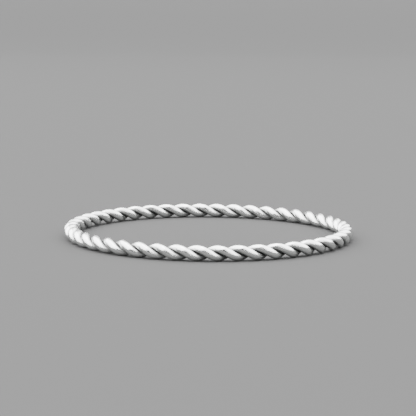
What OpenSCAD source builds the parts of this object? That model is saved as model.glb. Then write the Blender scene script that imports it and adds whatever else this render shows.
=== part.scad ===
// Twisted wire bangle: two round silver wires laid tightly together in a
// right-hand twist like a two-strand rope, so that each presses the other flat
// where they meet, and closed into a ring that lies on a surface.
// The ring's own axis is +Z. The origin is under the ring's centre, on the
// surface. Millimetres.

/* [Ring] */
// Clear width across the inside of the ring, where the hand goes through
inner_d = 65; // [50:0.5:75]

/* [Wire] */
// Diameter of each of the two wires, drawn round
wire_d = 2; // [1.2:0.05:2.3]
// Depth to which each wire is pressed flat where the other lies against it
pressed = 0.2; // [0:0.01:0.25]
// Gap that is left between the two pressed faces
wire_gap = 0.03; // [0.02:0.01:0.2]

/* [Twist] */
// Length of the ring in which a wire goes once round the other, rounded so
// that a whole number of turns closes the ring
lay = 9.4; // [7.5:0.1:14]

/* [Mesh] */
// Sides of a wire's round section. An odd number turns a flat side outwards at
// the crowns and a corner towards the other wire
wire_sides = 11; // [9:2:13]
// Sections of a wire in one turn of the twist
turn_sections = 12; // [12:1:16]

/* [Hidden] */

silver = [0.86, 0.87, 0.85];

// Before it is pressed, the many-sided section has the area of the round one. Its
// corners lie at section_r from its centre, and its sides at flat_r
section_r = wire_d / 2 * sqrt(PI / (wire_sides / 2 * sin(360 / wire_sides)));
flat_r = section_r * cos(180 / wire_sides);
// The wires' centre lines run round the rope's centre at this radius
lay_r = section_r + wire_gap / 2 - pressed;
// The rope's crowns lie at this radius
crown_r = lay_r + flat_r;
// Radius of the ring at the rope's centre
ring_r = inner_d / 2 + crown_r;
turns = round(2 * PI * ring_r / lay);
turn_steps = round(turn_sections);
sections = turns * turn_steps;

// Strips of the outline that face the other wire more squarely than this, as the
// cosine of the angle between, lie on the pressed face or run into it
pressed_strip = 0.6;

// Angle round the ring at section i
function ring_angle(i) = 360 * i / sections;

// Angle round the rope at section i, from straight up towards the ring's
// outside, of the wire that is ahead by the share `lead` of a turn
function lay_angle(i, lead) = 360 * (i / turn_steps + lead);

// Directions at ring angle t: away from the ring's axis, and along the ring
function outward(t) = [cos(t), sin(t), 0];
function onward(t) = [-sin(t), cos(t), 0];

// Direction from the rope's centre to the wire's centre
function lean(t, p) = sin(p) * outward(t) + cos(p) * [0, 0, 1];

// Centre of the wire. The rope rests on the surface with its lowest crowns
function centre(t, p) = ring_r * outward(t) + crown_r * [0, 0, 1] + lay_r * lean(t, p);

// Way in which the wire runs there: along the ring, and round the rope. It is
// always square to the lean, so the lean lies in the plane of the wire's section
function run(t, p) =
    let (v = (ring_r + lay_r * sin(p)) * onward(t)
           + lay_r * turns * (cos(p) * outward(t) - sin(p) * [0, 0, 1]))
    v / norm(v);

// Point of the section's outline at angle q from the lean. The face between the
// two wires is twisted as the rope is. A point that would come nearer to it than
// half the gap is pressed back. The section leans along the rope, so beside its
// middle it meets the face turned, and reaches over it to that side
function rim(t, p, q) =
    let (
        away = lean(t, p),
        aside = section_r * sin(q) * cross(run(t, p), away),
        turned = turns * aside * onward(t) / ring_r * 180 / PI,
        reach = aside * lean(t, p + 90),
        face = (wire_gap / 2 - reach * sin(turned)) / cos(turned) - lay_r
    )
    centre(t, p) + aside + max(section_r * cos(q), face) * away;

// The two triangles of a strip's stretch between two sections, given by its
// corners in order. The stretch is twisted, so the edge that the two share stands
// out of it or sinks in: in on the pressed face, which leaves the other wire its
// room, and out elsewhere, where the wire then keeps its volume
function split(a, b, c, d, pressed_in) =
    pressed_in ? [[a, b, c], [a, c, d]] : [[a, b, d], [b, c, d]];

// One wire: a section swept once round the ring, whose last section is joined to
// its first
module wire(lead) {
    points = [
        for (i = [0 : sections - 1], k = [0 : wire_sides - 1])
            rim(ring_angle(i), lay_angle(i, lead), 360 * (k + 0.5) / wire_sides)
    ];
    faces = [
        for (i = [0 : sections - 1], k = [0 : wire_sides - 1])
            let (
                here = i * wire_sides,
                next = (i + 1) % sections * wire_sides,
                l = (k + 1) % wire_sides,
                pressed_in = -cos(360 * (k + 1) / wire_sides) > pressed_strip
            )
            for (face = split(here + k, next + k, next + l, here + l, pressed_in))
                face
    ];
    polyhedron(points, faces, convexity = 10);
}

module first_wire() {
    color(silver) wire(0);
}

module second_wire() {
    color(silver) wire(0.5);
}

first_wire();
second_wire();
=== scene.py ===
# %% [markdown]
# # A twisted wire bangle in Blender
#
# The bangle is two round silver wires, laid tightly together in a right-hand
# twist like a two-strand rope and closed into a ring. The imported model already
# holds both wires as plain many-sided tubes at their real size. This lesson
# makes the wires that are seen, round and with the marks of their making, in
# the same place, and gives them their silver.

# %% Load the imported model
from math import atan2, cos, degrees, hypot, pi, radians, sin, tau

import bpy
from mathutils import Matrix, Vector


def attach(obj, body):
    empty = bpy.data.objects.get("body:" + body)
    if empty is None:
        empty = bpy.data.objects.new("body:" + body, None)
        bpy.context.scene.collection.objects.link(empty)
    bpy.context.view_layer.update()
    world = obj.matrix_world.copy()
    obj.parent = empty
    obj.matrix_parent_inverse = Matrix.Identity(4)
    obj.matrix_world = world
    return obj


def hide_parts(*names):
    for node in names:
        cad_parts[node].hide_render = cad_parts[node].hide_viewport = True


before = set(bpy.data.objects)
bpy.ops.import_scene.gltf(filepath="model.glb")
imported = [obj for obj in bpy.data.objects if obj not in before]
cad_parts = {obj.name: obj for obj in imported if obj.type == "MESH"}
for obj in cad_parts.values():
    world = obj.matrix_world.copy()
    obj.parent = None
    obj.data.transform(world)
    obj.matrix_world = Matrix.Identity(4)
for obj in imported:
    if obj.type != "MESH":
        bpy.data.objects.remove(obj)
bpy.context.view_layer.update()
print("nodes:", sorted(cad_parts))

# %% [markdown]
# ## Sizes
#
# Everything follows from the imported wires. Seen from above, their vertices lie
# between two circles, the clear opening and the outside. Half way between is
# the ring that the rope's centre runs on. Those circles don't give the radius
# of the wire, the gap between the wires and the number of turns, so these are
# stated first.

# %% Measure the ring and the rope
WIRE_R = 1e-3          # radius of the wire, drawn round
WIRE_GAP = 0.03e-3     # gap between the wires where they press each other flat
TURNS = 23             # times that a wire goes round the rope's centre

reach = [hypot(v.co.x, v.co.y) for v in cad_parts["first_wire"].data.vertices]
ring_r = (min(reach) + max(reach)) / 2
rope_r = (max(reach) - min(reach)) / 2
lay_r = rope_r - WIRE_R
rope_length = tau * ring_r
lay = rope_length / TURNS
print(f"ring {ring_r * 1e3:.2f} mm, rope {rope_r * 2e3:.2f} mm, lay {lay * 1e3:.2f} mm")

# %% [markdown]
# ## Camera
#
# The photograph was taken with a long lens from just above the surface. The
# spacing of the twist's crowns, wider in front than behind, gives the distance,
# and the height of the ellipse gives the elevation. The camera looks at the
# ring's centre and is then turned until the centre falls on its own pixel.

# %% Set up the camera
PICTURE = 416                  # width and height of the photograph, in pixels
FOCAL = 1436                   # focal length in those pixels
SENSOR = 36                    # width of the camera's sensor, in mm
STAND_OFF = 10.505 * ring_r    # from the ring's centre to the camera
ELEVATION = radians(9.24)
ROLL = radians(-0.54)
CENTRE_PIXEL = (208.7, 236.9)  # where the ring's centre on the floor is seen
NEAREST = 0.01                 # nothing nearer to the camera is drawn, in metres


def camera_turn(pixel):
    """Turn, in the camera's own axes, that takes the view's middle to a pixel."""
    across = (pixel[0] - PICTURE / 2) / FOCAL
    up = -(pixel[1] - PICTURE / 2) / FOCAL
    ahead = Vector((0, 0, -1))
    return ahead.rotation_difference(Vector((across, up, -1)))


back = Vector((0, -cos(ELEVATION), sin(ELEVATION)))
facing = (-back).to_track_quat("-Z", "Y")
rolled = Matrix.Rotation(-ROLL, 3, "Z").to_quaternion()
turned = facing @ rolled @ camera_turn(CENTRE_PIXEL).inverted()

bpy.ops.object.select_all(action="DESELECT")
bpy.ops.object.camera_add(location=back * STAND_OFF)
camera = bpy.context.object
camera.rotation_mode = "QUATERNION"
camera.rotation_quaternion = turned
camera.data.sensor_width = SENSOR
camera.data.lens = FOCAL / PICTURE * SENSOR
camera.data.clip_start = NEAREST
bpy.context.scene.camera = camera
print(f"camera {STAND_OFF * 1e3:.0f} mm away, lens {camera.data.lens:.0f} mm")

# %% [markdown]
# ## Maths for materials
#
# A material is a graph of nodes, and a formula in it would be a dozen nodes
# joined by hand. `Value` wraps a socket, so that a formula can be written as
# one: each operator adds its own Math node. `Finish` holds the material and
# adds every other kind of node through one method.

# %% Wrap sockets and nodes
# A Mix node has sockets of the same name for numbers, vectors and colours, so
# those for colours go by their number
MIX_SHARE = 0
MIX_FIRST = 6
MIX_SECOND = 7
MIX_COLOUR = 2         # the mixed colour, among the outputs


class Value:
    """A number that varies over the surface, with the operators that make Math nodes."""

    def __init__(self, finish, socket):
        self.finish = finish
        self.socket = socket

    def math(self, operation, *others):
        operands = dict(enumerate((self, *others)))
        return self.finish.add("ShaderNodeMath", {"operation": operation}, operands).value()

    def __add__(self, other):
        return self.math("ADD", other)

    def __sub__(self, other):
        return self.math("SUBTRACT", other)

    def __mul__(self, other):
        return self.math("MULTIPLY", other)

    def __rsub__(self, other):
        return (self * -1) + other

    __radd__ = __add__
    __rmul__ = __mul__

    def between(self, low, high):
        """0 below low and 1 above high, with a soft step from one to the other."""
        ramp = {"interpolation_type": "SMOOTHSTEP"}
        sockets = {"Value": self, "From Min": low, "From Max": high}
        return self.finish.add("ShaderNodeMapRange", ramp, sockets).value("Result")


class Node:
    """A node that was added to a finish."""

    def __init__(self, finish, node):
        self.finish = finish
        self.node = node

    def value(self, name=0):
        """One of its outputs, by name or number."""
        return Value(self.finish, self.node.outputs[name])


class Finish:
    """A node material with one Principled shader."""

    def __init__(self, name):
        self.material = bpy.data.materials.new(name)
        self.material.use_nodes = True
        self.tree = self.material.node_tree
        self.shader = Node(self, self.tree.nodes["Principled BSDF"])

    def fill(self, node, sockets):
        """Links a value to its socket, and writes anything else into it."""
        for name, value in sockets.items():
            socket = node.inputs[name]
            if isinstance(value, Value):
                self.tree.links.new(value.socket, socket)
            else:
                socket.default_value = value

    def add(self, kind, settings, sockets):
        """Adds a node. Its settings come first, then the values or links of its sockets."""
        node = self.tree.nodes.new(kind)
        for name, setting in settings.items():
            setattr(node, name, setting)
        self.fill(node, sockets)
        return Node(self, node)

    def blend(self, share, first, second):
        """Colour that goes from the first to the second as the share goes from 0 to 1."""
        sockets = {MIX_SHARE: share, MIX_FIRST: first, MIX_SECOND: second}
        return self.add("ShaderNodeMix", {"data_type": "RGBA"}, sockets).value(MIX_COLOUR)

    def shade(self, sockets):
        """Fills the sockets of the shader itself."""
        self.fill(self.shader.node, sockets)


# %% [markdown]
# ## Floor
#
# The floor is plain pale paper, as wide as a studio's, and its edge sweeps up
# all round. So no view shows a corner or where the floor ends. It starts as a
# flat disc, and its rim is extruded upwards in steps that follow a wide arc.

# %% Make the floor
FLOOR_SIDES = 128
FLOOR_R = 1.2          # radius of the flat part, in metres
SWEEP_R = 1.2          # radius of the quarter circle that its edge follows
SWEEP_TURN = radians(60)    # how far round that circle it goes
SWEEP_STEPS = 12

bpy.ops.object.select_all(action="DESELECT")
bpy.ops.mesh.primitive_circle_add(vertices=FLOOR_SIDES, radius=FLOOR_R, fill_type="NGON")
floor = bpy.context.object
floor.name = "floor"
bpy.ops.object.mode_set(mode="EDIT")
bpy.ops.mesh.select_all(action="SELECT")
bpy.ops.mesh.region_to_loop()
rim_r = FLOOR_R
rim_z = 0
for step in range(1, SWEEP_STEPS + 1):
    slope = SWEEP_TURN * step / SWEEP_STEPS
    next_r = FLOOR_R + SWEEP_R * sin(slope)
    next_z = SWEEP_R * (1 - cos(slope))
    bpy.ops.mesh.extrude_region_move(TRANSFORM_OT_translate={"value": (0, 0, next_z - rim_z)})
    bpy.ops.transform.resize(value=(next_r / rim_r, next_r / rim_r, 1), center_override=(0, 0, 0))
    rim_r = next_r
    rim_z = next_z
bpy.ops.object.mode_set(mode="OBJECT")
bpy.ops.object.shade_smooth()
print(f"floor {2 * rim_r:.1f} m across, its edge {rim_z:.1f} m high")

# %% [markdown]
# The rising edge gets less light than the flat, so its paper is paler, and the
# picture stays even up to its top.

# %% Give it its paper
FLOOR_COLOUR = (0.06, 0.06, 0.06, 1)
EDGE_COLOUR = (0.108, 0.108, 0.108, 1)
EDGE_HEIGHT = 0.25     # where the paper has the edge's colour, in metres

paper = Finish("pale_paper")
place = paper.add("ShaderNodeTexCoord", {}, {}).value("Object")
height = paper.add("ShaderNodeSeparateXYZ", {}, {"Vector": place}).value("Z")
colour = paper.blend(height.between(0, EDGE_HEIGHT), FLOOR_COLOUR, EDGE_COLOUR)
paper.shade({"Base Color": colour, "Roughness": 0.9, "Specular IOR Level": 0.1})
floor.data.materials.append(paper.material)
print(f"{floor.name} covered with {paper.material.name}")

# %% [markdown]
# ## Light
#
# Polished silver shows little but what stands round it, so each light is judged
# by its reflection. The photograph was taken in a room that is bright nearly
# all round, and dark only towards the camera. A broad light high at the left
# whitens the lobes that face it, and draws the bright slanting bands in front.
# A second one high at the right does the same for the other end. A weaker one
# behind is nearly half a dome, and keeps the rims of the crowns white. The rest
# of the room is almost black, and shows as the dark gap beside each band. The
# lower halves of the wires mirror the floor, so they are as grey as it is. All
# three lights are far away, so they light the floor evenly.

# %% Hang the lights


def soft_light(name, place, spread, strength):
    """A broad round light, as wide as that angle, that shines from that side on everything alike."""
    bpy.ops.object.light_add(type="SUN", location=place)
    light = bpy.context.object
    light.name = name
    light.rotation_mode = "QUATERNION"
    light.rotation_quaternion = (-Vector(place)).to_track_quat("-Z", "Y")
    light.data.angle = radians(spread)
    light.data.energy = strength
    print(f"{name}: {spread} degrees wide, strength {strength}")


soft_light("left_light", place=(-0.706, 0.037, 0.707), spread=100, strength=14)
soft_light("right_light", place=(0.694, 0.024, 0.719), spread=108, strength=11)
soft_light("back_light", place=(0.1, 0.94, 0.342), spread=160, strength=5)

ROOM_COLOUR = (0.06, 0.06, 0.06, 1)
world = bpy.data.worlds.new("room")
world.use_nodes = True
world.node_tree.nodes["Background"].inputs["Color"].default_value = ROOM_COLOUR
bpy.context.scene.world = world

# %% [markdown]
# ## The first wire
#
# A jeweller draws the wire round, grips two lengths in a hand drill and twists
# them, bends the rope round a mandrel, and solders the ends. The same four
# steps work here. A circle is the wire's round section. The Screw modifier
# carries it along and round a straight line, which twists it. A Curve modifier
# bends the straight rope round a circle, and merging the two ends by distance
# closes it. A curve with a round bevel would be quicker, but its sections turn
# freely. Here each section keeps the same side towards the other wire, as in
# the drill, which grips both wires together. The drawing lines and the darkening in the crease,
# tarnish with painted shade beside it, both follow that side.
#
# The section must stand square to the wire and not to the rope, or the wire
# comes out flattened, so it leans by the angle of the lay.

# %% Draw the section of the wire
SECTION_SIDES = 32
STEPS_PER_TURN = 36

lean = atan2(tau * lay_r, lay)
bpy.ops.object.select_all(action="DESELECT")
bpy.ops.mesh.primitive_circle_add(
    vertices=SECTION_SIDES, radius=WIRE_R, location=(0, 0, lay_r), rotation=(0, pi / 2, -lean)
)
first_wire = bpy.context.object
first_wire.name = "first_silver_wire"
bpy.ops.object.transform_apply(location=True, rotation=True, scale=True)
print(f"the section leans by {degrees(lean):.1f} degrees")

# %% [markdown]
# Each point of the section remembers where it is on the wire's own round: how
# far it faces away from the other wire, and how far to the side. Both are kept
# in one vector, which the Screw modifier copies to every section. A single
# angle would jump where it starts again, and these two numbers never do.

# %% Remember the way round the wire
round_the_wire = first_wire.data.attributes.new("round_the_wire", "FLOAT_VECTOR", "POINT")
for point in first_wire.data.vertices:
    outwards = (point.co.z - lay_r) / WIRE_R
    sideways = (point.co.x * sin(lean) + point.co.y * cos(lean)) / WIRE_R
    round_the_wire.data[point.index].vector = (outwards, sideways, 0)
print(f"{len(first_wire.data.vertices)} points know their place on the round")

# %% [markdown]
# The wires are twisted so tightly that each presses the other flat. The face
# between them is twisted like a ribbon, and the section leans along the rope, so
# it meets that face a little turned at either side. Each point that would reach
# past the face is set back to it, and the rest of the section stays round.

# %% Press it flat towards the other wire
pressed_count = 0
for point in first_wire.data.vertices:
    turned = tau * point.co.x / lay
    face = (WIRE_GAP / 2 + point.co.y * sin(turned)) / cos(turned)
    if point.co.z < face:
        point.co.z = face
        pressed_count += 1
print(f"{pressed_count} of {SECTION_SIDES} points lie on the pressed face")

# %% [markdown]
# The drill twists both wires at once. Here each is twisted by itself and still
# comes out in its place, because the Screw modifier carries the section round
# the rope's centre line, and not round the wire's own. Each turn moves it one
# lay forwards.

# %% Twist it
twist = first_wire.modifiers.new("twist", "SCREW")
twist.axis = "X"
twist.angle = tau
twist.screw_offset = lay
twist.iterations = TURNS
twist.steps = STEPS_PER_TURN
twist.render_steps = STEPS_PER_TURN
bpy.ops.object.modifier_apply(modifier=twist.name)
straight_length = first_wire.dimensions.x
print(f"twisted wire: {len(first_wire.data.vertices)} points, {straight_length * 1e3:.1f} mm long")

# %% [markdown]
# ## The second wire
#
# The second wire lies in the hollows of the first, half a turn round the rope
# from it. It is a copy with a mesh of its own, turned about the rope's straight
# centre line. With no window the pivot setting is ignored, so the turn is given its centre.

# %% Lay the second wire in the first


def select_only(piece):
    """Selects this piece and nothing else."""
    bpy.ops.object.select_all(action="DESELECT")
    piece.select_set(True)
    bpy.context.view_layer.objects.active = piece


def edit_all(piece):
    """Opens only this piece in edit mode and selects all of it."""
    select_only(piece)
    bpy.ops.object.mode_set(mode="EDIT")
    bpy.ops.mesh.select_all(action="SELECT")


select_only(first_wire)
bpy.ops.object.duplicate()
second_wire = bpy.context.object
second_wire.name = "second_silver_wire"
edit_all(second_wire)
bpy.ops.transform.rotate(value=pi, orient_axis="X", center_override=(0, 0, 0))
bpy.ops.object.mode_set(mode="OBJECT")
wires = [first_wire, second_wire]
print(f"{second_wire.name}: {len(second_wire.data.vertices)} points, half a turn from the first")

# %% [markdown]
# ## Bend, join and lay down
#
# The mandrel is a NURBS circle, which is truly round where the other kind of
# curve circle is only nearly so. It serves both wires and is then taken away.
# The two ends of a wire now meet point for point, because the turns are a whole
# number, so a merge by distance is the solder. Merging can leave faces that look
# both ways, so the normals are worked out anew. The mandrel's curve starts a
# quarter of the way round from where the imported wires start, so the ring is
# turned back by that quarter. Last, it is lifted until its lowest crowns stand
# on the surface.

# %% Bend both wires round the mandrel
MANDREL_STEPS = 64
END_GAP = 0.02e-3      # the two ends of a wire meet to within this distance

bpy.ops.object.select_all(action="DESELECT")
bpy.ops.curve.primitive_nurbs_circle_add(radius=ring_r, location=(0, 0, 0))
mandrel = bpy.context.object
mandrel.data.resolution_u = MANDREL_STEPS
for wire in wires:
    select_only(wire)
    bend = wire.modifiers.new("bend", "CURVE")
    bend.object = mandrel
    bend.deform_axis = "POS_X"
    bpy.ops.object.modifier_apply(modifier=bend.name)
    print(f"{wire.name} bent to {wire.dimensions.x * 1e3:.1f} mm across")
bpy.data.objects.remove(mandrel)

# %% Join the ends and lay the ring on the surface
for wire in wires:
    open_count = len(wire.data.vertices)
    edit_all(wire)
    bpy.ops.mesh.remove_doubles(threshold=END_GAP)
    bpy.ops.mesh.normals_make_consistent(inside=False)
    bpy.ops.transform.rotate(value=-pi / 2, orient_axis="Z", center_override=(0, 0, 0))
    bpy.ops.transform.translate(value=(0, 0, rope_r))
    bpy.ops.object.mode_set(mode="OBJECT")
    bpy.ops.object.shade_smooth()
    print(wire.name, "joined points:", open_count - len(wire.data.vertices), "of", SECTION_SIDES)

# %% [markdown]
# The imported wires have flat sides, so the round ones can't follow them exactly.
# A distance of up to about a tenth of a millimetre, the depth of those flats,
# shows that the turns, the lay and the starting point are the same.

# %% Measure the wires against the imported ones
for wire, node in zip(wires, ("first_wire", "second_wire")):
    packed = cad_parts[node]
    points = [point.co for point in wire.data.vertices]
    gaps = [(packed.closest_point_on_mesh(point)[1] - point).length for point in points]
    print(f"{wire.name} lies at most {max(gaps) * 1e3:.3f} mm from {node}")

# %% [markdown]
# Drawn wire that was twisted and bent by hand isn't perfect. A Displace
# modifier with a soft cloud texture gives each wire shallow dents and rises, of
# little more than a hundredth of a millimetre. They are too shallow to see in
# the outline, but polished metal shows them, because they bend the edge of each
# reflection.

# %% Give the wires shallow dents
DENT_SIZE = 1.1e-3     # width of a dent
DENT_DEPTH = 0.03e-3   # most that there is between the top of a rise and the bottom of a dent

clouds = bpy.data.textures.new("dents", "CLOUDS")
clouds.noise_scale = DENT_SIZE
clouds.noise_depth = 1
for wire in wires:
    select_only(wire)
    smooth = [point.co.copy() for point in wire.data.vertices]
    dents = wire.modifiers.new("dents", "DISPLACE")
    dents.texture = clouds
    dents.texture_coords = "LOCAL"
    dents.strength = DENT_DEPTH
    dents.mid_level = 0.5
    bpy.ops.object.modifier_apply(modifier=dents.name)
    moves = [(point.co - before).length for point, before in zip(wire.data.vertices, smooth)]
    print(f"{wire.name}: points moved by up to {max(moves) * 1e3:.3f} mm")

# %% [markdown]
# The marks of drawing run along the wire, so the material also needs the place
# along the ring. The direction from the ring's centre is stored as a vector,
# which closes on itself as the way round the wire does.

# %% Remember the way along the ring
for wire in wires:
    along_the_ring = wire.data.attributes.new("along_the_ring", "FLOAT_VECTOR", "POINT")
    for point in wire.data.vertices:
        direction = Vector((point.co.x, point.co.y, 0)).normalized()
        along_the_ring.data[point.index].vector = direction
    print(f"{wire.name}: {len(wire.data.vertices)} points know their place along the ring")

# %% [markdown]
# ## Silver
#
# Polished silver is nearly white and reflects almost all light, so its look is
# in what breaks the reflection. Four things do here. Drawing pulls long fine
# lines along the wire. The drawing and the twist together leave shorter and
# broader marks in the same direction. Handling makes the finish a little duller
# in patches, and faintly uneven all over. Tarnish stays in the crease, where neither cloth nor skin
# reaches, and is both darker and duller. The dark colour goes further than the tarnish: past the
# crease it is painted shade on the side of the wire.
#
# The lines and marks are relief, the lines and patches change the roughness, and the tarnish, with
# the painted shade beside it, changes roughness and colour. Lines and marks are a noise in
# four dimensions: two go once round the ring and two once round the wire, so
# that there is no seam anywhere.

# %% Find the place on the wire
silver = Finish("polished_silver")


def place_on_wire(name):
    """The parts of a stored vector, each as a value."""
    stored = silver.add("ShaderNodeAttribute", {"attribute_name": name}, {}).value("Vector")
    parts = silver.add("ShaderNodeSeparateXYZ", {}, {"Vector": stored})
    return [parts.value(axis) for axis in ("X", "Y", "Z")]


ring_x, ring_y, _ = place_on_wire("along_the_ring")
outwards, sideways, _ = place_on_wire("round_the_wire")


def drawn_noise(length, width, detail):
    """Noise whose marks are so long along the wire and so wide round it, from 0 to 1."""
    along = ring_r / length
    across = WIRE_R / width
    place = {"X": ring_x * along, "Y": ring_y * along, "Z": outwards * across}
    vector = silver.add("ShaderNodeCombineXYZ", {}, place).value()
    sockets = {"Vector": vector, "W": sideways * across, "Scale": 1, "Detail": detail}
    return silver.add("ShaderNodeTexNoise", {"noise_dimensions": "4D"}, sockets).value()


fine_lines = drawn_noise(length=4e-3, width=0.07e-3, detail=2)
drawing_marks = drawn_noise(length=1.6e-3, width=0.3e-3, detail=3)

# %% Handling marks
coordinates = silver.add("ShaderNodeTexCoord", {}, {}).value("Object")


def noise(size, detail, seed=0):
    """Noise that is alike in every direction, with lumps of that size, from 0 to 1."""
    sockets = {"Vector": coordinates, "W": seed, "Scale": 1 / size, "Detail": detail}
    return silver.add("ShaderNodeTexNoise", {"noise_dimensions": "4D"}, sockets).value()


mottle = noise(size=0.35e-3, detail=3)
patches = noise(size=2.5e-3, detail=2, seed=4)

# %% [markdown]
# The more a point faces the other wire, the deeper it lies in the crease and the darker it is
# coloured. Deep in the crease the dark is tarnish. Where it reaches past the crease onto the side of
# the wire, it is painted shade. The patches and the drawing marks move its edge to and fro. Without
# them it would be a ruled line along the wire.

# %% Tarnish and painted shade in the crease
CREASE_START = -0.4    # the darkening begins past the side of the wire, on its outer half, where it is painted shade
CREASE_FULL = 0.65     # the darkening, tarnish and painted shade, is at its darkest from here on to 1, which faces the other wire
SILVER_COLOUR = (0.83, 0.84, 0.83, 1)
# This dark colour is tarnish in the crease and painted shade on the side of the wire beyond it
TARNISH_AND_SHADE_COLOUR = (0.055, 0.055, 0.055, 1)
NOISE_MIDDLE = 0.5
SHIFT_BY_PATCHES = 0.35
SHIFT_BY_MARKS = 0.7

shift = (patches - NOISE_MIDDLE) * SHIFT_BY_PATCHES
ragged = (drawing_marks - NOISE_MIDDLE) * SHIFT_BY_MARKS
depth = outwards * -1 + shift + ragged
# The mask is partly tarnish and partly painted shade: it reaches from the crease onto the side of
# the wire
tarnish_and_painted_shade = depth.between(CREASE_START, CREASE_FULL)
colour = silver.blend(tarnish_and_painted_shade, SILVER_COLOUR, TARNISH_AND_SHADE_COLOUR)

# %% [markdown]
# The lines and marks are too fine for the mesh, so they are relief in the
# material: a Bump node tilts the reflection and moves nothing. Only the dents
# are wide enough to be real shape. The roughness starts from the polish, and
# whatever spoils the polish adds to it.

# %% Roughness and relief
LINE_HEIGHT = 0.6
MARK_HEIGHT = 1.2
MOTTLE_HEIGHT = 0.1
RELIEF_SIZE = 45e-6    # what a height of 1 stands for, in metres

POLISHED = 0.12
DULLED_BY_HANDLING = 0.08
DULLED_BY_LINES = 0.06
DULLED_BY_TARNISH = 0.3
PATCH_START = 0.35     # noise at which a dull patch begins
PATCH_FULL = 0.7

relief = fine_lines * LINE_HEIGHT + drawing_marks * MARK_HEIGHT + mottle * MOTTLE_HEIGHT
bump = silver.add("ShaderNodeBump", {}, {"Height": relief, "Distance": RELIEF_SIZE, "Strength": 1})
handled = POLISHED + patches.between(PATCH_START, PATCH_FULL) * DULLED_BY_HANDLING
roughness = handled + fine_lines * DULLED_BY_LINES + tarnish_and_painted_shade * DULLED_BY_TARNISH
silver.shade({
    "Base Color": colour,
    "Metallic": 1,
    "Roughness": roughness,
    "Normal": bump.value("Normal"),
})
print(f"{silver.material.name}: {len(silver.tree.nodes)} nodes")

# %% [markdown]
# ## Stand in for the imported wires
#
# The bangle is rigid, so both wires ride on its one body. Each replaces the
# packed wire that it was measured against, which then isn't shown.

# %% Put the silver on the wires
for wire, node in zip(wires, ("first_wire", "second_wire")):
    wire.data.materials.clear()
    wire.data.materials.append(silver.material)
    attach(wire, "root")
    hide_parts(node)
